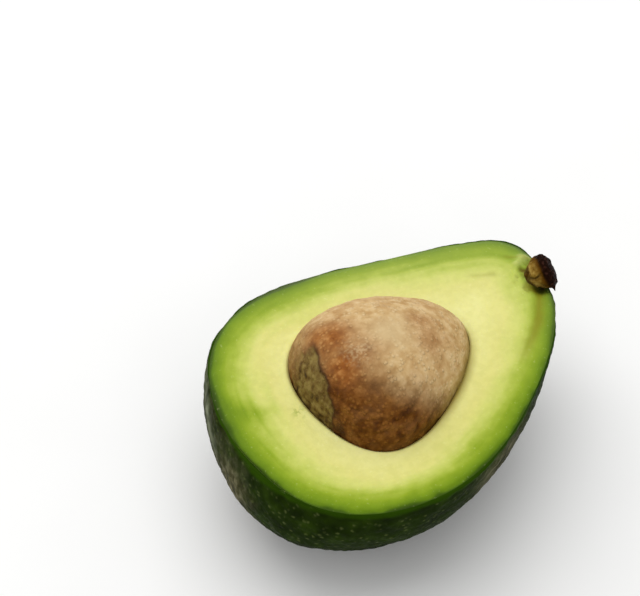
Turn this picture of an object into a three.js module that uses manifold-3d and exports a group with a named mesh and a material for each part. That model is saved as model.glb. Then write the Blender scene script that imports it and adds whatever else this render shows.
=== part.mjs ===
// Half an avocado with its seed, cut lengthwise and lying on its skin with the cut face level and upwards.
// Lengths are millimetres and angles are radians. +X runs from the blunt end to the stem, +Z is up,
// and the origin is on the small flat spot under the belly that the half rests on.

import * as THREE from 'three';
import { mergeVertices } from 'three/addons/utils/BufferGeometryUtils.js';
import Module from 'manifold-3d';

const wasm = await Module();
wasm.setup();

// Driving sizes of the fruit
const FRUIT_LENGTH = 98;
const SKIN_THICKNESS = 0.9;
const GAP = 0.3;
const FLAT_SPOT_DEPTH = 1.2;
const REST_X = 40;

// Pear shape, in shares of the fruit's length.
// The half width is sin(t) times a series in cos(t), where t runs from 0 at the blunt end to pi at the stem.
const WIDTH_SERIES = [0.370, 0.140, -0.005, -0.068, 0.067];
const BLUNT_END = { x: 0.0044, y: -0.030 };
const STEM_END = { x: 0.975, y: -0.038 };
const BEND_SERIES = [0.364, -0.751, 0.460];
const SHOULDER_SKEW = 0.430;
const SHOULDER_POWER = 5.5;

// Underside: how deep each section is beside its half width, and how far it leans to the blunt end
const DEPTH_SERIES = [0.88, 0.20, 0.36];
const BLUNT_LEAN = 0.40;
const LEAN_POWER = 3;
const FLANK_SWELL = 0.02;

// Seed, an egg with its blunt end to the fruit's blunt end
const SEED_CENTRE = new THREE.Vector3(44.7, -2.1, -1.0);
const SEED_HALF_LENGTH = 23.2;
const SEED_HALF_WIDTH = 20.5;
const SEED_HALF_HEIGHT = 17.2;
const SEED_BLUNTNESS = 0.3;
const SEED_FULLNESS = 0.85;
const SEED_BOW = 2.7;
const SEED_TURN = 0.065;

// Stem stub, which leans out of the cut face at the narrow end. The shares say how far along the stub
// its neck, cap and cap edge are, and how wide the top of the cap is beside its edge.
const STEM_ROOT = new THREE.Vector3(90.8, -3.0, -0.4);
const STEM_TURN = -0.56;
const STEM_RISE = 0.44;
const STEM_LENGTH = 6.7;
const STEM_ROOT_RADIUS = 3.3;
const STEM_NECK_RADIUS = 4.1;
const STEM_CAP_RADIUS = 4.7;
const STEM_NECK_SHARE = 0.55;
const STEM_CAP_SHARE = 0.8;
const STEM_EDGE_SHARE = 0.92;
const STEM_TOP_SHARE = 0.7;
const STEM_RIDGES = 5;
const STEM_RIDGE_DEPTH = 0.05;

// Fineness of the surfaces
const FRUIT_SLICES = 48;
const FRUIT_STACKS = 36;
const SEED_SLICES = 32;
const SEED_STACKS = 22;
const STEM_SLICES = 20;

const UP = new THREE.Vector3(0, 0, 1);

function series(terms, value) {
  return terms.reduce((sum, term, power) => sum + term * value ** power, 0);
}

function seriesSlope(terms, value) {
  return terms.reduce((sum, term, power) => sum + (power ? term * power * value ** (power - 1) : 0), 0);
}

// The plain pear profile at t, moved inwards by a depth at right angles to itself
function profileAt(t, inset) {
  const cosine = Math.cos(t);
  const sine = Math.sin(t);
  const span = STEM_END.x - BLUNT_END.x;
  const along = (BLUNT_END.x + span * (1 - cosine) / 2) * FRUIT_LENGTH;
  const radius = sine * series(WIDTH_SERIES, cosine) * FRUIT_LENGTH;
  const alongSlope = span * sine / 2;
  const radiusSlope = cosine * series(WIDTH_SERIES, cosine) - sine * sine * seriesSlope(WIDTH_SERIES, cosine);
  const steepness = Math.hypot(alongSlope, radiusSlope);
  return {
    along: along + inset * radiusSlope / steepness,
    radius: Math.max(radius - inset * alongSlope / steepness, 0),
  };
}

// A point of the fruit's surface: t goes from the blunt end to the stem, and turn goes round the axis
// from the +Y edge of the cut (0) under the belly (pi / 2) to the -Y edge (pi)
function fruitPoint(t, turn, inset, target) {
  const { along, radius } = profileAt(t, inset);
  const share = (1 - Math.cos(t)) / 2;
  const side = radius * Math.cos(turn);
  const swell = 1 + FLANK_SWELL * Math.abs(Math.sin(2 * turn));
  const depth = radius * Math.sin(turn) * series(DEPTH_SERIES, share);
  const straight = THREE.MathUtils.lerp(BLUNT_END.y, STEM_END.y, share);
  const bend = straight + share * (1 - share) * series(BEND_SERIES, share);
  const skew = SHOULDER_SKEW * side * share ** SHOULDER_POWER;
  const lean = BLUNT_LEAN * Math.abs(depth) * (1 - share) ** LEAN_POWER;
  return target.set(along + skew - lean, side * swell + bend * FRUIT_LENGTH, -depth * swell);
}

function seedPoint(t, turn, margin, target) {
  const bulge = Math.max(Math.sin(t), 0) ** SEED_FULLNESS * (1 + SEED_BLUNTNESS * Math.cos(t));
  target.x = -(SEED_HALF_LENGTH + margin) * Math.cos(t);
  target.y = (SEED_HALF_WIDTH + margin) * bulge * Math.cos(turn) + SEED_BOW * Math.sin(t) ** 2;
  target.z = -(SEED_HALF_HEIGHT + margin) * bulge * Math.sin(turn);
  return target.applyAxisAngle(UP, SEED_TURN).add(SEED_CENTRE);
}

// A closed surface of rings about the X axis, from a rule that gives each point by its two angles
function ringedGeometry(slices, stacks, pointAt) {
  const geometry = new THREE.SphereGeometry(1, slices, stacks);
  const { position, uv } = geometry.attributes;
  const point = new THREE.Vector3();
  for (let index = 0; index < position.count; index++) {
    pointAt(Math.PI * (1 - uv.getY(index)), 2 * Math.PI * uv.getX(index), point);
    position.setXYZ(index, point.x, point.y, point.z);
  }
  return geometry;
}

function solidFrom(geometry) {
  const bare = new THREE.BufferGeometry();
  bare.setAttribute('position', geometry.attributes.position);
  bare.setIndex(geometry.index);
  const merged = mergeVertices(bare);
  return new wasm.Manifold(new wasm.Mesh({
    numProp: 3,
    vertProperties: new Float32Array(merged.attributes.position.array),
    triVerts: new Uint32Array(merged.index.array),
  }));
}

function geometryFrom(solid) {
  const mesh = solid.getMesh();
  const geometry = new THREE.BufferGeometry();
  geometry.setAttribute('position', new THREE.BufferAttribute(mesh.vertProperties, 3));
  geometry.setIndex(new THREE.BufferAttribute(mesh.triVerts, 1));
  geometry.computeVertexNormals();
  return geometry;
}

// The space between two levels, wider and longer than the fruit
function slab(bottom, top) {
  const box = new THREE.BoxGeometry(2 * FRUIT_LENGTH, 2 * FRUIT_LENGTH, top - bottom);
  box.translate(FRUIT_LENGTH / 2, 0, (bottom + top) / 2);
  return solidFrom(box);
}

function fruitSolid(inset) {
  const pointAt = (t, turn, target) => fruitPoint(t, turn, inset, target);
  return solidFrom(ringedGeometry(FRUIT_SLICES, FRUIT_STACKS, pointAt));
}

function seedSolid(margin) {
  const pointAt = (t, turn, target) => seedPoint(t, turn, margin, target);
  return solidFrom(ringedGeometry(SEED_SLICES, SEED_STACKS, pointAt));
}

// A stub that widens from its root to a low domed cap, with shallow ridges along it
function stemSolid(margin) {
  const profile = [
    [0, -margin],
    [STEM_ROOT_RADIUS + margin, -margin],
    [STEM_NECK_RADIUS + margin, STEM_NECK_SHARE * STEM_LENGTH],
    [STEM_CAP_RADIUS + margin, STEM_CAP_SHARE * STEM_LENGTH],
    [STEM_CAP_RADIUS + margin, STEM_EDGE_SHARE * STEM_LENGTH + margin],
    [STEM_TOP_SHARE * STEM_CAP_RADIUS + margin, STEM_LENGTH + margin],
    [0, STEM_LENGTH + margin],
  ];
  const geometry = new THREE.LatheGeometry(profile.map(([x, y]) => new THREE.Vector2(x, y)), STEM_SLICES);
  const { position } = geometry.attributes;
  for (let index = 0; index < position.count; index++) {
    const angle = Math.atan2(position.getZ(index), position.getX(index));
    const ridge = 1 + STEM_RIDGE_DEPTH * Math.cos(STEM_RIDGES * angle);
    position.setX(index, position.getX(index) * ridge);
    position.setZ(index, position.getZ(index) * ridge);
  }
  geometry.rotateZ(-Math.PI / 2);
  geometry.rotateY(-STEM_RISE);
  geometry.rotateZ(STEM_TURN);
  geometry.translate(STEM_ROOT.x, STEM_ROOT.y, STEM_ROOT.z);
  return solidFrom(geometry);
}

const wholeFruit = fruitSolid(0);
const restLevel = wholeFruit.boundingBox().min[2] + FLAT_SPOT_DEPTH;
const fleshInset = SKIN_THICKNESS + GAP;

function makeSkin() {
  const outside = wholeFruit.intersect(slab(restLevel, 0));
  const inside = fruitSolid(SKIN_THICKNESS).intersect(slab(restLevel + SKIN_THICKNESS, FRUIT_LENGTH));
  return outside.subtract(inside).subtract(stemSolid(GAP));
}

function makeFlesh() {
  const half = fruitSolid(fleshInset).intersect(slab(restLevel + fleshInset, 0));
  return half.subtract(seedSolid(GAP)).subtract(stemSolid(GAP));
}

function makeMesh(name, solid, look) {
  const mesh = new THREE.Mesh(geometryFrom(solid), new THREE.MeshStandardMaterial(look));
  mesh.name = name;
  return mesh;
}

const avocado = new THREE.Group();
avocado.add(makeMesh('skin', makeSkin(), { color: '#22320c', roughness: 0.5, metalness: 0 }));
avocado.add(makeMesh('flesh', makeFlesh(), { color: '#ccd06c', roughness: 0.45, metalness: 0 }));
avocado.add(makeMesh('seed', seedSolid(0), { color: '#9a6a3c', roughness: 0.6, metalness: 0 }));
avocado.add(makeMesh('stem', stemSolid(0), { color: '#6b4a1c', roughness: 0.85, metalness: 0 }));
avocado.position.set(-REST_X, 0, -restLevel);

export default avocado;
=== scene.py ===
import math

import bpy
import bmesh
import numpy as np
from mathutils import Matrix, Vector


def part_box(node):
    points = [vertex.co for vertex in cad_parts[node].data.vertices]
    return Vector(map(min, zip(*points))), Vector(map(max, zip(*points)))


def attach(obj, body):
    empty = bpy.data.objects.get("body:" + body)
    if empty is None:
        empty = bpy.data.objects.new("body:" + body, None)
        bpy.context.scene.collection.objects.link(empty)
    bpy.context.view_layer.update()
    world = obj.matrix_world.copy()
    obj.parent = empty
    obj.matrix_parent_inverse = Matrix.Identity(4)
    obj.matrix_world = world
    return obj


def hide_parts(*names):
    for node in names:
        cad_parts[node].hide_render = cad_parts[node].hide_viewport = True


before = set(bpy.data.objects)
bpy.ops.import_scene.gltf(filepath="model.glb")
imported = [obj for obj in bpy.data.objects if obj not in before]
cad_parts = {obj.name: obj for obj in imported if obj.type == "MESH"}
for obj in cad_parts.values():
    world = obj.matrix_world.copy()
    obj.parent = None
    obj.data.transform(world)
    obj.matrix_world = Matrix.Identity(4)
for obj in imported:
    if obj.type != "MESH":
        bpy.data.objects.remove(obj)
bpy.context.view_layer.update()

# The fruit's formulas are in millimetres from its blunt end, with the cut face at height zero.
# to_row moves them to the row's frame, in metres.
MM = 0.001
CUT_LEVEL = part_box("skin")[1].z / MM
REST_X = 40.0

# Pear outline and underside, as in the solids, with lengths as shares of the fruit's length
FRUIT_LENGTH = 98.0
WIDTH_SERIES = (0.370, 0.140, -0.005, -0.068, 0.067)
BLUNT_END = (0.0044, -0.030)
STEM_END = (0.975, -0.038)
BEND_SERIES = (0.364, -0.751, 0.460)
SHOULDER_SKEW = 0.430
SHOULDER_POWER = 5.5
DEPTH_SERIES = (0.88, 0.20, 0.36)
BLUNT_LEAN = 0.40
LEAN_POWER = 3
FLANK_SWELL = 0.02

# Fuller places of the edge beside the stem, each with its centre, reach and rise. They rise away from
# SHOULDER_MIDDLE in plan.
SHOULDERS = [
    ((91.5, -12.5, 0.0), 8.0, 0.9),
    ((94.0, 8.0, 0.0), 9.0, 0.6),
    ((79.0, 16.0, 0.0), 9.0, 0.4),
]
SHOULDER_MIDDLE = np.array([72.0, -6.0])

# Peel: its thickness, how much of it shows at the cut, and how far and over what width the edges are
# rounded down there. Each rim step is a share of the way from the outside to the inside, and a level in
# units of that drop.
SKIN_THICKNESS = 0.9
SHOWN_RIM = 0.55
RIM_DROP = 0.45
ROUNDING = 1.6
RIM_STEPS = [(0.12, -1.55), (0.32, -1.2), (0.62, -1.0), (1.0, -1.7)]

# Low lumps on the peel, and smaller pebbles that are shifted a little out of their cells
LUMP_SIZE = 8.0
LUMP_HEIGHT = 0.32
PEBBLE_SIZE = 2.3
PEBBLE_HEIGHT = 0.20
PEBBLE_SHIFT = 0.5

# The blunt flank of the peel, where the distance along FLANK_SLOPE is below FLANK_END, is grey brown: partly
# the peel's own colour and partly painted sheen. It is less so where the distance along FRESH_SLOPE is above
# 0.
FLANK_SLOPE = (0.75, -0.66, 0.40)
FLANK_END = -4.7
FRESH_SLOPE = (0.50, 0.58, 0.64)
FRESHNESS = 0.78

# A grey brown patch on one side of the peel, partly painted sheen, and a pale line down the blunt end that
# is a painted rim light
GREY_BROWN_SHEEN_SPOT = (52.0, -36.0, -9.0)
GREY_BROWN_SHEEN_REACH = 9.0
PAINTED_RIM_LIGHT_LINE = np.array([(11.5, 29.5, -1.5), (4.9, 21.3, -4.5), (1.1, 14.8, -10.7)])
PAINTED_RIM_LIGHT_STEPS = 5
PAINTED_RIM_LIGHT_REACH = 1.7

# Relief of the cut face: the raised lip round the hollow, how far it is rounded down into the hollow and
# how much more on one side, a low unevenness, a fine one and the arcs
LIP_RISE = 0.16
LIP_PLACE = 0.9
LIP_WIDTH = 0.8
LIP_DROP = 0.05
EXTRA_DROP = 0.45
EXTRA_DROP_SIDE = (205, 45)
UNEVEN_HEIGHT = 0.10
UNEVEN_SIZE = 14.0
FINE_HEIGHT = 0.03
FINE_SIZE = 2.2
ARCS_HEIGHT = 0.025

# Torn flesh round the foot of the stub: raised flaps, each with its centre, reach and rise, and a notch,
# painted nearly black as a shadowed pocket
STUB_FOOT = (92.5, -3.5)
FLAPS = [
    ((94.6, 2.8, 0.0), 1.5, 1.3),
    ((91.2, -3.6, 0.0), 1.3, 1.0),
    ((92.0, 2.4, 0.0), 1.0, 0.8),
]
NOTCH = (91.6, -7.2, 0.0)
NOTCH_DEPTH = 1.5
NOTCH_REACH = 1.8

# Brown lines on the cut face, each with its strength, its width and its points in plan: the strand from
# the stub along one edge, a faint line, and a torn line beside the stub. TORN_SLIT is a darker one.
BROWN_LINES = [
    (0.95, 1.3, [(90.1, -5.0), (89.7, -8.5), (86.5, -11.4), (82.3, -15.2), (76.9, -17.9), (69.8, -21.3)]),
    (0.35, 0.9, [(85.5, 4.0), (79.5, 8.4)]),
    (0.80, 0.6, [(97.0, 1.2), (93.7, 4.5), (91.0, 7.4)]),
]
TORN_SLIT = [(93.4, -1.2), (92.2, -0.6), (91.2, 1.2)]

# A green streak and flecks by the blunt end, and the middle of a patch of faint arcs on the near side
GREEN_LINE = [(2.0, 14.5), (6.5, 14.5), (12.0, 10.0), (19.0, 3.8)]
GREEN_FLECKS = (19.2, 3.4, 0.0)
ARCS_MIDDLE = (32.0, -30.0, 0.0)

# Where the green of the cut face is wider or narrower, and where the face is paler or greener. Each entry
# has its amount, its bearing round the seed and its width, the last two in degrees.
FAR_SIDE = (50, 65)
GREEN_WIDTHS = [(0.28, 165, 28), (0.20, 98, 18), (0.24, 8, 32), (-0.04, 195, 20), (0.02, 250, 30)]
PALE_SIDES = [(0.8, *FAR_SIDE), (0.3, 255, 60), (-0.8, 98, 16)]

# Seed. Its hollow lies CAVITY_GAP outside the seed's plain surface, which here means just inside it, so
# that no gap shows.
SEED_CENTRE = np.array([44.7, -2.1, -1.0])
SEED_HALF_SIZES = (23.2, 20.5, 17.2)
SEED_BLUNTNESS = 0.3
SEED_FULLNESS = 0.85
SEED_BOW = 2.7
SEED_TURN = 0.065
CAVITY_GAP = -0.05

# Peeled end of the seed: where its border crosses the middle, how it slants, and its furthest place
PEELED_TO = 24.8
PEELED_SLANT = 0.42
PEELED_LIMIT = 27.8

# Relief of the seed: soft swellings, folds low on one side, a finer unevenness, grains, the step down to
# the peeled end, and a level a little below the plain surface
SWELLING_HEIGHT = 0.22
FOLD_DEPTH = 0.3
FOLD_WIDTH = 0.14
RIPPLE_HEIGHT = 0.2
GRAIN_HEIGHT = 0.16
PEELED_STEP = 0.35
SEED_LEVEL = -0.15

# Patches on the seed: rusty ones, each with its centre, reach and strength, and a pale and a moist one, the
# moist one with painted glints
RUST_SPOTS = [
    ((33.0, 6.0, 15.5), 6.5, 1.0),
    ((28.8, -2.0, 14.5), 5.4, 1.0),
    ((31.5, 9.0, 13.8), 5.0, 0.9),
    ((35.0, -1.5, 16.5), 5.0, 0.75),
    ((53.2, -2.8, 13.3), 4.4, 0.55),
    ((51.8, -7.2, 12.3), 4.8, 0.55),
]
PALE_SPOT = (43.5, -1.5, 16.2)
PALE_REACH = 6.0
MOIST_SPOT = (34.2, -1.5, 16.5)
MOIST_REACH = 3.6

# Stem stub: the shares of its length and the radii that give its outline from root to cap
STEM_ROOT = np.array([90.8, -3.0, -0.4])
STEM_TURN = -0.56
STEM_RISE = 0.44
STEM_LENGTH = 6.7
STEM_SHARES = (0.0, 0.0, 0.35, 0.62, 0.80, 0.92, 1.02, 1.09, 1.12)
STEM_RADII = (0.0, 2.3, 3.5, 4.4, 4.7, 4.4, 3.6, 2.1, 0.0)

# Relief of the stub: its ragged bark, cracks in the wood, the thickness of the cap, how far it all leans to
# one side, and where it is fuller on that side, as a share of the stub's length
BARK_HEIGHT = 0.35
CRACK_DEPTH = 0.5
CRACK_WIDTH = 0.04
CAP_THICKNESS = 0.25
STUB_LEAN = 0.5
FULLER_BY = 0.9
FULLER_SHARE = 0.45
FULLER_WIDTH = 0.28

# Hook on the cap of the stub: its length, its place and width as angles round the stub, and its place and
# width as shares of the stub's length
HOOK_LENGTH = 1.3
HOOK_ANGLE = 3.6
HOOK_WIDTH = 0.035
HOOK_SHARE = 0.86
HOOK_HEIGHT = 0.04

# Fineness of the meshes
EDGE_STEPS = 230
SKIN_ROWS = 130
SKIN_INNER_ROWS = 12
SKIN_CROWDING = 1.15
FACE_ROWS = 125
CAVITY_ROWS = 34
FLESH_SIDE_ROWS = 16
OUTLINE_STEPS = 360
SEED_ROWS = 190
SEED_COLUMNS = 260
STEM_ROWS = 130
STEM_COLUMNS = 240

# The surfaces close to a point at both ends. Outlines and normals are read this far from them, in radians.
END_MARGIN = 0.02

# Whole numbers that scramble the numbers of a cell into a value that looks random
CELL_FACTORS = (73856093, 19349663, 83492791)
SEED_FACTOR = 26544357
SCRAMBLES = [(13, 1274126177), (16, 224682251)]
LAST_SHIFT = 15
LOW_32_BITS = 0xFFFFFFFF
LOW_24_BITS = 0xFFFFFF


def to_row(points):
    """Points in millimetres from the blunt end as points of the row's frame, in metres."""
    return (points + np.array([-REST_X, 0.0, CUT_LEVEL])) * MM


def tone(code):
    """A screen colour such as 8aa236 as a linear colour."""
    parts = [int(code[i:i + 2], 16) / 255 for i in (0, 2, 4)]
    linear = [c / 12.92 if c <= 0.04045 else ((c + 0.055) / 1.055) ** 2.4 for c in parts]
    return (*linear, 1.0)


def smooth(low, high, value):
    """Goes smoothly from 0 at low to 1 at high."""
    share = np.clip((value - low) / (high - low), 0.0, 1.0)
    return share * share * (3 - 2 * share)


def series(terms, value):
    return sum(term * value ** power for power, term in enumerate(terms))


def series_slope(terms, value):
    return sum(power * term * value ** (power - 1) for power, term in enumerate(terms) if power)


def bell(value, width):
    """1 where the value is 0, falling softly to 0 on both sides over a few times the width."""
    return np.exp(-(value / width) ** 2)


def near(points, centre, reach):
    """1 at a centre, falling softly to 0 over a few times the reach."""
    return bell(np.linalg.norm(points - np.array(centre), axis=-1), reach)


def bearing(points):
    """Angle in degrees round the seed's middle, from the stem end and by the +Y edge."""
    offsets = points - SEED_CENTRE
    return np.degrees(np.arctan2(offsets[..., 1], offsets[..., 0])) % 360


def bearing_near(angle, centre, width):
    """1 at a bearing in degrees, falling softly to 0 on both sides of it."""
    return bell(np.mod(angle - centre + 180, 360) - 180, width)


def by_bearing(angle, entries):
    """Sum of amounts that each fade out on both sides of a bearing."""
    return sum(amount * bearing_near(angle, centre, width) for amount, centre, width in entries)


def distance_to(points, line, closed=True):
    """Distance in plan from each point to a line through the given points."""
    starts = line[:, :2]
    ends = np.roll(starts, -1, axis=0)
    if not closed:
        starts, ends = starts[:-1], ends[:-1]
    runs = ends - starts
    squares = np.maximum((runs ** 2).sum(axis=-1), 1e-12)
    result = np.empty(points.shape[:-1])
    for row in range(len(points)):
        offsets = points[row][:, None, :2] - starts
        shares = np.clip((offsets * runs).sum(axis=-1) / squares, 0, 1)
        result[row] = np.linalg.norm(offsets - shares[..., None] * runs, axis=-1).min(axis=-1)
    return result


def spots_along(line, steps):
    """Evenly spread points on each stretch of a line, with both of its ends."""
    shares = np.linspace(0, 1, steps)[:, None]
    return np.concatenate([start + shares * (end - start) for start, end in zip(line, line[1:])])


def unit(vectors):
    """The vectors at a length of 1."""
    length = np.linalg.norm(vectors, axis=-1, keepdims=True)
    return vectors / np.maximum(length, 1e-9)


# Noise from a lattice of fixed random values. Each use of it has a seed number of its own.

def lattice_values(cells, seed):
    """A fixed random value from 0 to 1 for each whole-number cell."""
    keys = cells.astype(np.int64) * CELL_FACTORS
    mixed = keys[..., 0] ^ keys[..., 1] ^ keys[..., 2]
    mixed = (mixed ^ (seed + 7) * SEED_FACTOR) & LOW_32_BITS
    for shift, factor in SCRAMBLES:
        mixed = ((mixed ^ (mixed >> shift)) * factor) & LOW_32_BITS
    return ((mixed ^ (mixed >> LAST_SHIFT)) & LOW_24_BITS) / LOW_24_BITS


def noise(points, size, seed=0):
    """Smooth noise from -1 to 1 with features of about the given size."""
    scaled = points / size
    cell = np.floor(scaled)
    inside = scaled - cell
    eased = inside * inside * (3 - 2 * inside)
    total = np.zeros(points.shape[:-1])
    for corner in np.ndindex(2, 2, 2):
        weight = np.prod(np.where(corner, eased, 1 - eased), axis=-1)
        total += weight * lattice_values(cell + corner, seed)
    return total * 2 - 1


def layered(points, size, layers, seed=0):
    """Noise with finer layers, each half as large and half as strong."""
    return sum(noise(points, size / 2 ** k, seed + k) / 2 ** k for k in range(layers))


def pebbles(points, size, seed=0):
    """Rounded bumps from 0 to 1, about one in each cell of the given size."""
    scaled = points / size
    cell = np.floor(scaled)
    nearest = np.full(points.shape[:-1], np.inf)
    for step in np.ndindex(3, 3, 3):
        other = cell + np.array(step) - 1
        place = np.stack([lattice_values(other, seed + k) for k in range(3)], axis=-1)
        nearest = np.minimum(nearest, np.linalg.norm(other + place - scaled, axis=-1))
    return 1 - smooth(0.0, 0.8, nearest)


# Shapes of the fruit

def profile(t, inset):
    """Distance along the fruit and half width at t, moved inwards at right angles to the outline."""
    cosine, sine = np.cos(t), np.sin(t)
    span = STEM_END[0] - BLUNT_END[0]
    width = series(WIDTH_SERIES, cosine)
    along = (BLUNT_END[0] + span * (1 - cosine) / 2) * FRUIT_LENGTH
    along_slope = span * sine / 2
    radius_slope = cosine * width - sine ** 2 * series_slope(WIDTH_SERIES, cosine)
    steepness = np.hypot(along_slope, radius_slope)
    radius = sine * width * FRUIT_LENGTH - inset * along_slope / steepness
    return along + inset * radius_slope / steepness, np.maximum(radius, 0)


def fruit_surface(t, turn, inset):
    """Points of the peel, from the +Y edge of the cut (turn 0) under the belly to the -Y edge (pi)."""
    along, radius = profile(t, inset)
    share = (1 - np.cos(t)) / 2
    side = radius * np.cos(turn)
    swell = 1 + FLANK_SWELL * np.abs(np.sin(2 * turn))
    depth = radius * np.sin(turn) * series(DEPTH_SERIES, share)
    straight = BLUNT_END[1] * (1 - share) + STEM_END[1] * share
    bend = straight + share * (1 - share) * series(BEND_SERIES, share)
    skew = SHOULDER_SKEW * side * share ** SHOULDER_POWER
    lean = BLUNT_LEAN * np.abs(depth) * (1 - share) ** LEAN_POWER
    return np.stack([along + skew - lean, side * swell + bend * FRUIT_LENGTH, -depth * swell], axis=-1)


def swell_shoulders(points):
    """Moves the peel and the flesh outwards in plan beside the stem, where the half is fuller."""
    outward = unit(points[..., :2] - SHOULDER_MIDDLE)
    amount = sum(rise * near(points, place, reach) for place, reach, rise in SHOULDERS)
    moved = points.copy()
    moved[..., :2] += outward * amount[..., None]
    return moved


def peel_normals(t, turn):
    """Outward directions of the peel, the same for every turn at the two ends."""
    step = 0.004
    t = np.clip(t, END_MARGIN, math.pi - END_MARGIN)
    along = fruit_surface(t + step, turn, 0) - fruit_surface(t - step, turn, 0)
    around = fruit_surface(t, turn + step, 0) - fruit_surface(t, turn - step, 0)
    normals = unit(np.cross(along, around))
    for end in (0, EDGE_STEPS):
        normals[:, end] = unit(normals[:, end].mean(axis=0))
    return normals


def seed_surface(t, turn, margin):
    """Points of the seed, from its blunt end (t 0) to its narrow end (pi), grown by a margin."""
    bulge = np.maximum(np.sin(t), 0) ** SEED_FULLNESS * (1 + SEED_BLUNTNESS * np.cos(t))
    long, wide, high = (half + margin for half in SEED_HALF_SIZES)
    x = -long * np.cos(t)
    y = wide * bulge * np.cos(turn) + SEED_BOW * np.sin(t) ** 2
    z = -high * bulge * np.sin(turn)
    cosine, sine = math.cos(SEED_TURN), math.sin(SEED_TURN)
    return np.stack([x * cosine - y * sine, x * sine + y * cosine, z], axis=-1) + SEED_CENTRE


def edge_angles():
    """t for each column: along the +Y edge from the blunt end to the stem, and back along the -Y edge."""
    there = np.linspace(0, math.pi, EDGE_STEPS + 1)
    return np.concatenate([there, there[-2:0:-1]])


def edge_turns(share):
    """Turn of each column at a share of the way from the cut edge (0) down to the keel (1)."""
    near_side = np.arange(2 * EDGE_STEPS) > EDGE_STEPS
    return np.where(near_side, math.pi - share * math.pi / 2, share * math.pi / 2)


def belly_rings(inset, lowest, rows):
    """Rings at an inset under the peel, from just below the cut down to the keel, with a flat bottom."""
    turns = np.stack([edge_turns(share) for share in np.linspace(0.03, 1, rows)])
    rings = fruit_surface(edge_angles()[None, :], turns, inset)
    rings[..., 2] = np.maximum(rings[..., 2], lowest)
    return rings


# Making objects

def ring_faces(rows, columns):
    """Quads between rows of closed rings."""
    row, column = np.meshgrid(np.arange(rows - 1), np.arange(columns), indexing="ij")
    after = (column + 1) % columns
    here, there = row * columns, (row + 1) * columns
    return np.stack([here + column, here + after, there + after, there + column], axis=-1).reshape(-1, 4)


def make_piece(name, node, points, values, material):
    """A closed smooth mesh from a grid of rings, with named values at its points, in place of a CAD node."""
    mesh = bpy.data.meshes.new(name)
    faces = ring_faces(*points.shape[:2])
    mesh.from_pydata(to_row(points.reshape(-1, 3)).tolist(), [], faces.tolist())
    for label, numbers in values.items():
        attribute = mesh.attributes.new(label, "FLOAT", "POINT")
        attribute.data.foreach_set("value", numbers.astype(np.float32).ravel())
    shape = bmesh.new()
    shape.from_mesh(mesh)
    bmesh.ops.remove_doubles(shape, verts=shape.verts, dist=1e-6)
    bmesh.ops.recalc_face_normals(shape, faces=shape.faces)
    shape.to_mesh(mesh)
    shape.free()
    mesh.polygons.foreach_set("use_smooth", [True] * len(mesh.polygons))
    mesh.materials.append(material)
    piece = bpy.data.objects.new(name, mesh)
    bpy.context.scene.collection.objects.link(piece)
    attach(piece, "root")
    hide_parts(node)


def close_ends(points):
    """Draws the first and the last ring together into a point each."""
    for end in (0, -1):
        points[end] = points[end].mean(axis=0)


# The peel

def peel_outside():
    """The pebbled outside, in rings from the keel up to the cut edge."""
    t = edge_angles()[None, :]
    turns = np.stack([edge_turns(share) for share in np.linspace(1, 0, SKIN_ROWS) ** SKIN_CROWDING])
    plain = fruit_surface(t, turns, 0)
    lumps = LUMP_HEIGHT * layered(plain, LUMP_SIZE, 2, 3)
    shifted = plain + PEBBLE_SHIFT * layered(plain, 3.0, 2, 9)[..., None]
    bumps = PEBBLE_HEIGHT * pebbles(shifted, PEBBLE_SIZE, 5)
    relief = lumps + bumps - PEBBLE_HEIGHT
    outside = swell_shoulders(plain + peel_normals(t, turns) * relief[..., None])
    outside[..., 2] = np.maximum(outside[..., 2], -CUT_LEVEL)
    outside[..., 2] -= 2 * RIM_DROP * smooth(-ROUNDING, 0, outside[..., 2])
    return outside


def peel_rim(outer):
    """Rings over the rounded cut edge, from the outside's top ring in to the flesh."""
    inner = swell_shoulders(fruit_surface(edge_angles(), edge_turns(0), SKIN_THICKNESS))
    rings = []
    for share, level in RIM_STEPS:
        ring = outer * (1 - share) + inner * share
        ring[:, 2] = level * RIM_DROP
        rings.append(ring)
    return np.stack(rings)


def peel_marks(points):
    """Where the peel is cut green, grey brown with partly painted sheen, darkened underneath by painted
    shade, and lit by a painted rim-light line, each from 0 to 1.
    """
    z = points[..., 2]
    along = points @ np.array(FLANK_SLOPE) - FLANK_END
    flank = 1 - smooth(-3, 3, along + 3 * layered(points, 8.0, 2, 21))
    rim = smooth(-2.4 + 1.4 * flank, -0.8 + 0.3 * flank, z + 0.5 * noise(points, 2.5, 23))
    rim[SKIN_ROWS:] = 1
    fresh = smooth(-5, 4, points @ np.array(FRESH_SLOPE) + layered(points, 4.0, 2, 27))
    # Grey brown flank and side patch: partly the peel's own colour, partly painted sheen.
    grey_brown_and_sheen = np.maximum(flank * (1 - FRESHNESS * fresh), near(points, GREY_BROWN_SHEEN_SPOT, GREY_BROWN_SHEEN_REACH))
    # Painted shade: the peel gets darker towards its bottom.
    painted_underside_shade = 1 - smooth(-38, -14, z + 2 * noise(points, 8.0, 25))
    shifted = points + 0.7 * noise(points, 2.0, 29)[..., None]
    # Painted rim light: a pale line down the blunt end of the peel.
    painted_rim_light = sum(near(shifted, spot, PAINTED_RIM_LIGHT_REACH) for spot in spots_along(PAINTED_RIM_LIGHT_LINE, PAINTED_RIM_LIGHT_STEPS))
    return {"rim": rim, "grey_brown_and_sheen": grey_brown_and_sheen, "painted_underside_shade": painted_underside_shade, "painted_rim_light": np.clip(0.5 * painted_rim_light, 0, 1)}


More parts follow.
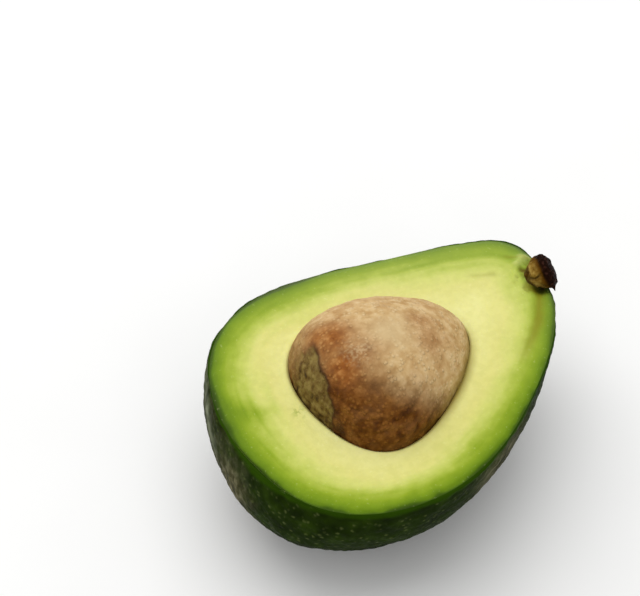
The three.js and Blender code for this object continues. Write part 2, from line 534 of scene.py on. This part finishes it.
def make_skin(material):
    """The peel: pebbled outside, a rounded cut rim and a plain inside."""
    outside = peel_outside()
    inside = belly_rings(SKIN_THICKNESS, SKIN_THICKNESS - CUT_LEVEL, SKIN_INNER_ROWS)
    points = np.concatenate([outside, peel_rim(outside[-1]), inside])
    make_piece("skin_peel", "skin", points, peel_marks(points), material)


# The flesh

def cavity_outline():
    """Outline of the hollow where the cut plane crosses it, going once round."""
    there = np.linspace(END_MARGIN, math.pi - END_MARGIN, OUTLINE_STEPS)
    t = np.concatenate([there, there[::-1]])
    far = np.arange(len(t)) < OUTLINE_STEPS
    bulge = np.sin(t) ** SEED_FULLNESS * (1 + SEED_BLUNTNESS * np.cos(t))
    drop = SEED_CENTRE[2] / (SEED_HALF_SIZES[2] + CAVITY_GAP)
    turn = np.arcsin(np.clip(drop / bulge, -1, 1))
    return seed_surface(t, np.where(far, turn, math.pi - turn), CAVITY_GAP)


def cavity_edge(rim):
    """Points of the hollow's edge on the straight lines from the seed's middle to each point of the rim."""
    outline = cavity_outline()[:, :2] - SEED_CENTRE[:2]
    angles = np.mod(np.arctan2(outline[:, 1], outline[:, 0]), 2 * math.pi)
    order = np.argsort(angles)
    wanted = np.mod(np.arctan2(rim[:, 1] - SEED_CENTRE[1], rim[:, 0] - SEED_CENTRE[0]), 2 * math.pi)
    radius = np.interp(wanted, angles[order], np.linalg.norm(outline, axis=1)[order], period=2 * math.pi)
    ring = np.stack([radius * np.cos(wanted), radius * np.sin(wanted), 0 * radius], axis=-1)
    return ring + SEED_CENTRE * (1, 1, 0)


def cavity_rings(edge):
    """Rings of the hollow from its bottom up to just below its edge."""
    bottom = SEED_CENTRE - np.array([0, 0, SEED_HALF_SIZES[2] + CAVITY_GAP])
    angles = np.linspace(0, math.pi / 2, CAVITY_ROWS)[:-1, None]
    reach = np.sin(angles)[..., None]
    rise = (1 - np.cos(angles))[..., None]
    return bottom + (edge - bottom) * np.concatenate([reach, reach, rise], axis=-1)


def flat_face():
    """The level cut face in rings from the hollow out, and its distances from the peel and the hollow."""
    rim = swell_shoulders(fruit_surface(edge_angles(), edge_turns(0), SHOWN_RIM))
    rim[:, 2] = 0
    hollow = cavity_edge(rim)
    shares = ((1 - np.cos(np.linspace(0, math.pi, FACE_ROWS))) / 2)[:, None, None]
    face = hollow * (1 - shares) + rim * shares
    return face, distance_to(face, rim), distance_to(face, hollow)


def soften_face(face, depth, lip):
    """Rounds the face down at the peel and into the hollow, and makes it faintly uneven."""
    face[..., 2] -= RIM_DROP * (1 - smooth(0, ROUNDING, depth))
    drop = LIP_DROP + EXTRA_DROP * bearing_near(bearing(face), *EXTRA_DROP_SIDE)
    face[..., 2] += LIP_RISE * bell(lip - LIP_PLACE, LIP_WIDTH) - drop * (1 - smooth(0, 0.7, lip))
    low_waves = UNEVEN_HEIGHT * layered(face, UNEVEN_SIZE, 2, 43)
    face[..., 2] += low_waves + FINE_HEIGHT * layered(face, FINE_SIZE, 2, 45)
    arcs = np.sin(depth * 5.5 + 1.5 * noise(face, 9.0, 47)) * bell(depth - 7.5, 3)
    face[..., 2] += ARCS_HEIGHT * arcs * near(face, ARCS_MIDDLE, 16)


def tear_face(face, torn):
    """Roughens the torn flesh, and returns how ragged it is and how far its flaps rise."""
    ragged = layered(face, 1.5, 3, 49)
    flaps = sum(rise * near(face, place, reach) for place, reach, rise in FLAPS) * (1 + 0.5 * ragged)
    notch = NOTCH_DEPTH * near(face, NOTCH, NOTCH_REACH)
    face[..., 2] += torn * (0.4 * ragged + 0.3) + flaps - notch
    return ragged, flaps


def streak(points, line, width):
    """1 along a line of points, fading out sideways and towards the line's far end."""
    line = np.array(line, dtype=float)
    travelled = np.linalg.norm(points[..., :2] - line[0], axis=-1)
    share = np.clip(travelled / np.linalg.norm(line[-1] - line[0]), 0, 1)
    wobble = 0.35 * noise(points, 2.0, 31)
    return bell(distance_to(points, line, closed=False) + wobble, width) * (1 - share ** 3)


def shown_depth(points, depth, green):
    """How deep under the peel each point looks, in millimetres. The flesh is coloured by it."""
    angle = bearing(points)
    width = 1 + by_bearing(angle, GREEN_WIDTHS) + 0.09 * layered(points, 12.0, 2, 51)
    turned = np.radians(angle)
    along = np.stack([depth / 1.7, 2.2 * np.cos(turned), 2.2 * np.sin(turned)], axis=-1)
    grain = 0.9 * layered(along, 1.0, 3, 53) * smooth(1, 5, depth)
    shade = by_bearing(angle, PALE_SIDES) + 0.45 * noise(points, 2.2, 55) * bearing_near(angle, 245, 80)
    shade = shade + 0.4 * layered(points, 7.0, 2, 57)
    shade = shade + 2.5 * bearing_near(angle, 225, 30) * smooth(5, 8, depth)
    return depth / width + grain + shade - green * np.clip(depth - 2.0, 0, 3.2)


def make_flesh(material):
    """The hollow, the cut face and the outside of the flesh, in rings round the seed."""
    face, depth, lip = flat_face()
    from_stub = np.linalg.norm(face[..., :2] - STUB_FOOT, axis=-1)
    torn = 1 - smooth(3.6, 6.5, from_stub + 1.5 * noise(face, 2.6, 41))
    soften_face(face, depth, lip)
    ragged, flaps = tear_face(face, torn)
    cavity = cavity_rings(face[0])
    outside = belly_rings(SHOWN_RIM + 0.25, SHOWN_RIM - CUT_LEVEL, FLESH_SIDE_ROWS)
    points = np.concatenate([cavity, face, outside])

    angle = bearing(points)
    beyond = ((len(cavity), len(outside)), (0, 0))
    brown = sum(amount * streak(face, line, width) for amount, width, line in BROWN_LINES)
    green = 0.95 * streak(face, GREEN_LINE, 3.2) * (1 + 0.3 * noise(face, 3.0, 58))
    values = {
        "depth": shown_depth(points, np.pad(depth, beyond, mode="edge"), np.pad(green, beyond)),
        "far": bearing_near(angle, *FAR_SIDE),
        "lip": np.concatenate([np.full(cavity.shape[:2], -1.0), lip, np.full(outside.shape[:2], 9.0)]),
        "vein": np.pad(np.clip(brown, 0, 1), beyond),
        # Olive in the dips of the torn flesh: painted shade in its creases.
        "torn": np.pad(torn * smooth(-0.05, -0.6, ragged), beyond),
        "slit": np.pad(0.9 * streak(face, TORN_SLIT, 0.5), beyond),
        # Painted shadow in the notch under the stub.
        "notch": np.clip(1.4 * near(points, NOTCH, 1.9), 0, 1),
        # Painted shadow of the seed on the face beside the hollow, on one side.
        "painted_seed_shadow": bearing_near(angle, 300, 45),
        "flap": np.pad(np.clip(flaps, 0, 1), beyond),
        "fleck": near(points, GREEN_FLECKS, 1.6),
    }
    make_piece("flesh_half", "flesh", points, values, material)


# The seed

def seed_patches(points):
    """How far each kind of patch shows, from 0 to 1: the peeled end, its edge, painted dark as the shadow of
    the step there, rusty and pale spots, the low brown side, darkened further by painted shade, the left
    side, moist spots and the stained foot."""
    x, y, z = np.moveaxis(points, -1, 0)
    ragged = 0.9 * layered(points, 3.2, 3, 61)
    border = np.minimum(PEELED_TO + PEELED_SLANT * y, PEELED_LIMIT) + ragged
    cloud = 1.8 * layered(points, 5.0, 3, 63)
    rust = np.zeros_like(x)
    for centre, reach, strength in RUST_SPOTS:
        rust = np.maximum(rust, strength * near(points + 0.6 * cloud[..., None], centre, reach))
    return {
        "peeled": (1 - smooth(-0.3, 0.3, x - border)) * (1 - 0.8 * smooth(8, 13, y + ragged)),
        # A dark line along the peeled border: painted shadow of the step there.
        "edge": bell(x - border - 0.2, 0.8) * (1 - smooth(7, 12, y)),
        "rust": rust,
        "pale": near(points + 0.5 * cloud[..., None], PALE_SPOT, PALE_REACH),
        # Partly the seed's own brown and partly painted shade, darker towards its bottom, its -Y side and
        # its blunt end.
        "low": 1 - smooth(-7, 16, z + 0.8 * (y + 2) + 1.35 * (x - 35) + cloud),
        "left": 1 - smooth(29, 39, x + 0.5 * cloud),
        "moist": near(points, MOIST_SPOT, MOIST_REACH),
        "foot": (1 - smooth(0, 4.5, z + 0.3 * ragged)) * bearing_near(bearing(points), 315, 55),
    }


def make_seed(material):
    """The seed: grainy, folded low on one side, and a little smaller where its coat is peeled."""
    t = np.linspace(0, math.pi, SEED_ROWS)[:, None]
    turn = np.linspace(0, 2 * math.pi, SEED_COLUMNS, endpoint=False)[None, :]
    points = seed_surface(t, turn, 0)
    patches = seed_patches(points)
    outward = unit(points - SEED_CENTRE)
    folds = np.abs(layered(points * (0.6, 1, 1.4), 5.0, 2, 65))
    relief = SWELLING_HEIGHT * layered(points, 7.0, 2, 67)
    relief = relief - FOLD_DEPTH * bell(folds, FOLD_WIDTH) * patches["low"]
    relief = relief + RIPPLE_HEIGHT * layered(points, 2.2, 2, 68) * (0.4 + 0.6 * patches["low"])
    relief = relief + GRAIN_HEIGHT * pebbles(points, 1.5, 69) * (0.4 + patches["moist"])
    relief = relief - PEELED_STEP * patches["peeled"] + SEED_LEVEL
    points = points + outward * relief[..., None]
    close_ends(points)
    make_piece("seed_stone", "seed", points, patches, material)


# The stub

def stub_outline():
    """Heights and radii of the stub's rings, evenly spread along its outline."""
    along = np.array(STEM_SHARES) * STEM_LENGTH
    radii = np.array(STEM_RADII)
    travel = np.concatenate([[0], np.cumsum(np.hypot(np.diff(along), np.diff(radii)))])
    where = np.linspace(0, travel[-1], STEM_ROWS)
    return np.interp(where, travel, along)[:, None], np.interp(where, travel, radii)[:, None]


def stub_marks(points, level, over):
    """Where the stub is cap, and where its wood is cracked or ragged, each from 0 to 1."""
    cap = smooth(0.40, 0.84, level + 0.07 * noise(points, 1.8, 71) + 0.25 * over)
    shifted = points * (0.3, 1, 1) + 0.5 * noise(points, 1.5, 72)[..., None]
    long_cracks = np.abs(noise(shifted, 3.6, 73))
    short_cracks = np.abs(noise(points * (0.6, 1, 1), 2.4, 79)) + smooth(0.25, 0.5, level)
    root = 1 - smooth(0.5, 1.9, points[..., 0] + 1.4 * noise(points, 1.4, 74))
    cracks = bell(np.minimum(long_cracks, short_cracks), CRACK_WIDTH)
    return {"cap": cap, "crack": 0.75 * np.maximum(cracks, root) * (1 - cap)}


def hook_height(level, angle):
    """The small hook on the edge of the cap."""
    aside = np.mod(angle - HOOK_ANGLE + math.pi, 2 * math.pi) - math.pi
    return HOOK_LENGTH * bell(level - HOOK_SHARE, HOOK_HEIGHT) * bell(aside, HOOK_WIDTH)


def make_stem(material):
    """The stub: ragged fissured wood with a thick dark cap and a small hook on the cap's edge."""
    height, radius = stub_outline()
    angle = np.linspace(0, 2 * math.pi, STEM_COLUMNS, endpoint=False)[None, :]
    across, upward = np.cos(angle) + 0 * height, np.sin(angle) + 0 * height
    points = np.stack([height + 0 * angle, radius * across, radius * upward], axis=-1)
    level = height / STEM_LENGTH
    over = np.maximum(np.cos(angle - 0.1), 0) ** 3
    marks = stub_marks(points, level, over)
    cap = marks["cap"]
    relief = BARK_HEIGHT * layered(points, 3.0, 3, 75) - CRACK_DEPTH * marks["crack"]
    relief = relief + CAP_THICKNESS * cap + STUB_LEAN * across - 0.1
    fuller = FULLER_BY * over * bell(level - FULLER_SHARE, FULLER_WIDTH)
    relief = smooth(0, 2, radius) * relief + fuller + hook_height(level, angle)
    outward = np.stack([0 * across, across, upward], axis=-1)
    points = points + outward * relief[..., None]
    points[..., 0] += cap * 0.25 * layered(points, 1.8, 3, 77)
    close_ends(points)
    tilt = Matrix.Rotation(STEM_TURN, 3, "Z") @ Matrix.Rotation(-STEM_RISE, 3, "Y")
    points = points @ np.array(tilt).T + STEM_ROOT
    make_piece("stem_stub", "stem", points, marks, material)


# Materials

class Paint:
    """One procedural material, with a short call for each kind of node. Sizes are in millimetres."""

    def __init__(self, name, settings):
        self.material = bpy.data.materials.new(name)
        self.material.use_nodes = True
        self.tree = self.material.node_tree
        self.shader = self.tree.nodes["Principled BSDF"]
        self.place = self.tree.nodes.new("ShaderNodeTexCoord").outputs["Object"]
        for socket, value in settings.items():
            self.shader.inputs[socket].default_value = value

    def node(self, kind, inputs, output=0, **settings):
        made = self.tree.nodes.new("ShaderNode" + kind)
        for key, value in settings.items():
            setattr(made, key, value)
        for key, value in inputs.items():
            if isinstance(value, bpy.types.NodeSocket):
                self.tree.links.new(value, made.inputs[key])
            else:
                made.inputs[key].default_value = value
        return made.outputs[output]

    def calc(self, operation, a, b):
        return self.node("Math", {0: a, 1: b}, operation=operation)

    def value(self, name, strength=None):
        """A named value of the mesh, times a strength if one is given."""
        source = self.node("Attribute", {}, "Fac", attribute_name=name)
        return source if strength is None else self.calc("MULTIPLY", source, strength)

    def noise(self, size, detail=3.0, place=None):
        settings = {"Vector": place or self.place, "Scale": 1 / (size * MM), "Detail": detail}
        return self.node("TexNoise", settings, "Fac")

    def cells(self, size, output, place=None):
        """Cells of about the given size: the Distance from their middles, or a random Color for each."""
        settings = {"Vector": place or self.place, "Scale": 1 / (size * MM)}
        return self.node("TexVoronoi", settings, output)

    def stretched(self, x, y, z):
        return self.node("VectorMath", {0: self.place, 1: (x, y, z)}, operation="MULTIPLY")

    def warped(self, size, reach):
        """The place, moved about by up to the reach in patches of the given size."""
        tint = self.node("TexNoise", {"Vector": self.place, "Scale": 1 / (size * MM)}, "Color")
        centred = self.node("VectorMath", {0: tint, 1: (0.5, 0.5, 0.5)}, operation="SUBTRACT")
        moves = self.node("VectorMath", {0: centred, "Scale": 2 * reach * MM}, operation="SCALE")
        return self.node("VectorMath", {0: self.place, 1: moves}, operation="ADD")

    def span(self, value, low, high, start=0.0, end=1.0):
        """Goes smoothly from start where the value is low to end where it is high."""
        inputs = {"Value": value, "From Min": low, "From Max": high, "To Min": start, "To Max": end}
        return self.node("MapRange", inputs, interpolation_type="SMOOTHSTEP")

    def mix(self, share, a, b, blend="MIX"):
        """Colour a, with a share of b over it. A colour is a socket or a code."""
        if isinstance(b, str):
            b = tone(b)
        return self.node("Mix", {0: share, 6: a, 7: b}, 2, data_type="RGBA", blend_type=blend)

    def ramp(self, value, stops):
        """Colours at places from 0 to 1."""
        made = self.tree.nodes.new("ShaderNodeValToRGB")
        self.tree.links.new(value, made.inputs[0])
        places = sorted(stops)
        while len(made.color_ramp.elements) < len(places):
            made.color_ramp.elements.new(0.5)
        for element, place in zip(made.color_ramp.elements, places):
            element.position = place
            element.color = tone(stops[place])
        return made.outputs[0]

    def bump(self, height, depth, normal=None):
        inputs = {"Height": height, "Distance": depth * MM, "Strength": 1.0}
        if normal:
            inputs["Normal"] = normal
        return self.node("Bump", inputs)

    def finish(self, colour, roughness, normal):
        for socket, source in (("Base Color", colour), ("Roughness", roughness), ("Normal", normal)):
            self.tree.links.new(source, self.shader.inputs[socket])
        return self.material


# Colours of the flesh from the peel to the seed, at shares of RIPE_DEPTH in millimetres
RIPE_DEPTH = 20.0
FLESH_COLOURS = {
    0.000: "2a4305", 0.028: "405d0b", 0.052: "5f7e10", 0.110: "769314", 0.200: "8ea624", 0.290: "a9ba42",
    0.380: "c3cc62", 0.480: "d3d676", 0.600: "dfdb84", 0.800: "e7e392", 1.000: "ece89c",
}


def flesh_paint():
    """Dark green by the skin through green to pale yellow round the seed, moist and faintly streaked, with
    painted shade where the seed shades the face, in the notch under the stub and in the dips of the torn
    flesh.
    """
    paint = Paint("flesh", {
        "Subsurface Weight": 0.15,
        "Subsurface Radius": (1.0, 0.8, 0.25),
        "Subsurface Scale": 0.0018,
        "Specular IOR Level": 0.12,
        "Specular Tint": (1.0, 1.0, 0.55, 1.0),
    })
    cloud = paint.span(paint.noise(3.5, 4), 0.25, 0.75, -0.5, 0.5)
    cloud = paint.calc("MULTIPLY", cloud, paint.span(paint.value("depth"), 0.5, 6))
    depth = paint.calc("DIVIDE", paint.calc("ADD", paint.value("depth"), cloud), RIPE_DEPTH)
    colour = paint.ramp(depth, FLESH_COLOURS)
    colour = paint.mix(paint.span(paint.noise(0.8, 3), 0.62, 0.8, 0, 0.16), colour, "eef0b0", "SCREEN")
    colour = paint.mix(paint.span(paint.noise(1.6, 3), 0.35, 0.65, 0.08, 0), colour, "a9ad55", "MULTIPLY")
    colour = paint.mix(paint.value("far", 0.12), colour, "c8cc98")
    fleck = paint.calc("MULTIPLY", paint.value("fleck"), paint.span(paint.noise(1.5, 2), 0.45, 0.6))
    colour = paint.mix(paint.calc("MULTIPLY", fleck, 0.7), colour, "9aa83c")
    colour = paint.mix(paint.value("vein"), colour, "84841e")
    colour = paint.mix(paint.value("flap", 0.6), colour, "c6cd78")
    # Painted shade: olive in the dips of the torn flesh.
    colour = paint.mix(paint.value("torn", 0.45), colour, "7c701e")
    colour = paint.mix(paint.value("slit"), colour, "5a3c0c")
    # Painted shadow: the notch under the stub is painted nearly black.
    colour = paint.mix(paint.value("notch"), colour, "1c1002")
    # Painted shadow: brown shading of the face near the hollow, where the seed shades it.
    painted_seed_shadow = paint.calc("MULTIPLY", paint.span(paint.value("lip"), 2.8, 0.0), paint.value("painted_seed_shadow"))
    colour = paint.mix(paint.calc("MULTIPLY", painted_seed_shadow, 0.85), colour, "8e7a28")
    edge = paint.span(paint.value("lip"), 0.65, 0.0)
    colour = paint.mix(paint.calc("MULTIPLY", edge, 0.7), colour, "8c7430")
    rough = paint.span(paint.noise(1.1, 3), 0.3, 0.7, 0.36, 0.52)
    normal = paint.bump(paint.noise(0.45, 3), 0.03, paint.bump(paint.noise(1.8, 3), 0.07))
    return paint.finish(colour, rough, normal)


def skin_paint():
    """Very dark green with fine pale dots, grey brown on the blunt flank that is partly painted sheen, a
    painted pale rim-light line, painted shade darkening the underside, and green at the cut rim.
    """
    paint = Paint("skin", {"IOR": 1.3, "Specular IOR Level": 0.03})
    colour = paint.ramp(paint.noise(5.0, 4), {0.30: "111c02", 0.55: "1c2b03", 0.75: "2a3c07"})
    fibres = paint.noise(2.0, 4, paint.stretched(0.3, 1.0, 0.6))
    # Grey brown of the flank and the side patch: partly the peel's own colour, partly painted sheen.
    grey_brown_and_sheen = paint.ramp(fibres, {0.34: "2a2910", 0.50: "514d33", 0.68: "7b765a"})
    colour = paint.mix(paint.value("grey_brown_and_sheen", 0.95), colour, grey_brown_and_sheen)
    # Painted rim light: a pale line down the blunt end.
    painted_rim_light = paint.calc("MULTIPLY", paint.value("painted_rim_light"), paint.span(fibres, 0.3, 0.65, 0.3, 0.8))
    colour = paint.mix(painted_rim_light, colour, "8c9178")
    place = paint.warped(1.2, 0.5)
    dots = paint.span(paint.cells(1.7, "Distance", place), 0.40, 0.02)
    chance = paint.span(paint.cells(1.7, "Color", place), 0.05, 0.75)
    dots = paint.calc("MULTIPLY", dots, chance)
    dots = paint.calc("MULTIPLY", dots, paint.span(paint.value("grey_brown_and_sheen"), 0.0, 1.0, 0.65, 0.15))
    colour = paint.mix(dots, colour, "565f34")
    # Painted shade darkens the underside nearly to black.
    colour = paint.mix(paint.value("painted_underside_shade", 0.92), colour, "020400")
    colour = paint.mix(paint.value("rim"), colour, "284203")
    rough = paint.span(paint.noise(0.9, 3), 0.3, 0.7, 0.42, 0.62)
    rough = paint.calc("ADD", rough, paint.value("painted_underside_shade", 0.35))
    height = paint.calc("ADD", paint.noise(0.8, 4), paint.calc("MULTIPLY", dots, 0.5))
    return paint.finish(colour, rough, paint.bump(height, 0.12))


def seed_paint():
    """Grainy tan coat, brown low on one side and darkened there by painted shade, with rusty, pale and moist
    patches, painted glints on the moist patch, and a peeled end with a painted shadow line along its border.
    """
    paint = Paint("seed", {"IOR": 1.35, "Specular IOR Level": 0.2})
    grains = paint.span(paint.cells(1.1, "Distance"), 0.6, 0.12)
    grains = paint.calc("MULTIPLY", grains, paint.span(paint.cells(1.1, "Color"), 0.05, 0.8))
    grain = paint.calc("ADD", paint.noise(2.4, 3), paint.calc("MULTIPLY", grains, 0.22))
    light = paint.ramp(grain, {0.30: "b8915c", 0.50: "cba974", 0.70: "dabd8c"})
    warm = paint.ramp(grain, {0.30: "8a663a", 0.50: "a07c4c", 0.70: "b4925f"})
    # The seed's own dark brown, which also serves as painted shade on its low side.
    brown_and_painted_shade = paint.ramp(grain, {0.32: "4a2603", 0.50: "643806", 0.70: "82521a"})
    colour = paint.mix(paint.value("left"), light, warm)
    colour = paint.mix(paint.value("low"), colour, brown_and_painted_shade)
    blotches = paint.span(paint.noise(5.0, 5), 0.44, 0.64, 0, 0.25)
    colour = paint.mix(blotches, colour, "a1703c")
    rust = paint.ramp(grain, {0.30: "743809", 0.55: "935418", 0.75: "b2763a"})
    colour = paint.mix(paint.value("rust", 0.9), colour, rust)
    colour = paint.mix(paint.value("pale", 0.7), colour, "cfb688")
    colour = paint.mix(paint.value("foot", 0.8), colour, "806c24")
    husk = paint.ramp(paint.noise(2.0, 4), {0.30: "32240a", 0.44: "685222", 0.62: "87743c"})
    colour = paint.mix(paint.value("peeled", 0.92), colour, husk)
    # Painted shadow: a dark line along the border of the peeled end.
    colour = paint.mix(paint.value("edge", 0.85), colour, "3a1f04")
    # Painted glints: pale specks on the moist patch.
    painted_glints = paint.calc("MULTIPLY", paint.value("moist"), paint.span(paint.noise(0.9, 2), 0.45, 0.62))
    colour = paint.mix(paint.calc("MULTIPLY", painted_glints, 0.3), colour, "e6cfa0")
    rough = paint.span(paint.noise(0.8, 3), 0.3, 0.7, 0.52, 0.72)
    rough = paint.calc("SUBTRACT", rough, paint.value("moist", 0.3))
    wrinkles = paint.noise(1.5, 4, paint.stretched(0.7, 0.7, 1.3))
    normal = paint.bump(paint.noise(1.6, 2), 0.16)
    normal = paint.bump(paint.calc("MULTIPLY", wrinkles, paint.value("low")), 0.7, normal)
    raised = paint.calc("MULTIPLY", grains, paint.span(paint.value("pale"), 0, 1, 1, 0.4))
    return paint.finish(colour, rough, paint.bump(raised, 0.25, normal))


def stem_paint():
    """Fissured tan wood under a thick, nearly black cap."""
    paint = Paint("stem", {"IOR": 1.3, "Specular IOR Level": 0.06})
    wood = paint.ramp(paint.noise(1.8, 4), {0.30: "644810", 0.48: "8e7030", 0.70: "ae9450"})
    bark = paint.ramp(paint.noise(1.0, 5), {0.30: "0c0300", 0.55: "1e0c04", 0.80: "4a2c22"})
    colour = paint.mix(paint.span(paint.value("cap"), 0.0, 0.7), wood, "5a3a08")
    colour = paint.mix(paint.span(paint.value("cap"), 0.6, 1.0), colour, bark)
    colour = paint.mix(paint.value("crack"), colour, "1e0f02")
    rough = paint.span(paint.noise(0.8, 3), 0.3, 0.7, 0.45, 0.8)
    return paint.finish(colour, rough, paint.bump(paint.noise(0.6, 4), 0.3))


def floor_paint():
    """Nearly white and matt, with a faint unevenness."""
    paint = Paint("floor", {"Specular IOR Level": 0.1})
    shade = paint.ramp(paint.noise(60, 2), {0.3: "f6f6f5", 0.7: "f9f9f8"})
    rough = paint.span(paint.noise(20, 2), 0.3, 0.7, 0.8, 0.9)
    return paint.finish(shade, rough, paint.bump(paint.noise(9, 2), 0.01))


# Floor, light and camera

# The floor's half side and the distance of the lamps are in metres
FLOOR_HALF = 3.0
LAMP_DISTANCE = 0.9
WORLD_STRENGTH = 0.65

# The aim is a place in the fruit's formulas, in millimetres, as are the distance from it and the lens
AIM = np.array([46.79, 27.24, 0.0])
CAMERA_TURN = math.radians(-41.0248)
CAMERA_HEIGHT = math.radians(50.0)
CAMERA_DISTANCE = 507.53
CAMERA_LENS = 112.5
SENSOR_WIDTH = 36
CLIP_START = 0.01


def make_camera():
    """The camera, turned about Z and looking down at the aim."""
    camera = bpy.data.objects.new("camera", bpy.data.cameras.new("camera"))
    camera.data.lens = CAMERA_LENS
    camera.data.sensor_width = SENSOR_WIDTH
    camera.data.clip_start = CLIP_START
    right = Vector((math.cos(CAMERA_TURN), math.sin(CAMERA_TURN), 0))
    ahead = Vector((-math.sin(CAMERA_TURN), math.cos(CAMERA_TURN), 0))
    back = Vector((0, 0, math.sin(CAMERA_HEIGHT))) - ahead * math.cos(CAMERA_HEIGHT)
    place = Vector(to_row(AIM)) + back * CAMERA_DISTANCE * MM
    axes = Matrix((right, back.cross(right), back)).transposed()
    camera.matrix_world = Matrix.Translation(place) @ axes.to_4x4()
    bpy.context.scene.collection.objects.link(camera)
    bpy.context.scene.camera = camera


def make_light(name, turn, height, size, strength):
    """A soft square lamp, turned from straight behind the fruit, and up, by angles in degrees."""
    direction = Vector((0, 1, 0))
    direction.rotate(Matrix.Rotation(CAMERA_TURN + math.radians(turn), 3, "Z"))
    place = direction * math.cos(math.radians(height)) + Vector((0, 0, math.sin(math.radians(height))))
    lamp = bpy.data.lights.new(name, "AREA")
    lamp.size = size
    lamp.energy = strength
    light = bpy.data.objects.new(name, lamp)
    light.location = place * LAMP_DISTANCE
    light.rotation_euler = place.to_track_quat("Z", "Y").to_euler()
    bpy.context.scene.collection.objects.link(light)


def make_floor():
    mesh = bpy.data.meshes.new("floor")
    corners = [(x * FLOOR_HALF, y * FLOOR_HALF, 0) for x, y in ((-1, -1), (1, -1), (1, 1), (-1, 1))]
    mesh.from_pydata(corners, [], [(0, 1, 2, 3)])
    mesh.materials.append(floor_paint())
    floor = bpy.data.objects.new("floor", mesh)
    bpy.context.scene.collection.objects.link(floor)


def make_studio():
    """A pale floor under plain white light, with a large lamp above and a small one low on one side."""
    make_floor()
    world = bpy.data.worlds.new("studio")
    world.use_nodes = True
    background = world.node_tree.nodes["Background"]
    background.inputs["Color"].default_value = (1, 1, 1, 1)
    background.inputs["Strength"].default_value = WORLD_STRENGTH
    bpy.context.scene.world = world
    bpy.context.scene.view_settings.view_transform = "Standard"
    make_light("key", turn=20, height=72, size=1.0, strength=4.75)
    make_light("side", turn=78, height=14, size=0.4, strength=1.0)


make_camera()
make_studio()
make_skin(skin_paint())
make_flesh(flesh_paint())
make_seed(seed_paint())
make_stem(stem_paint())
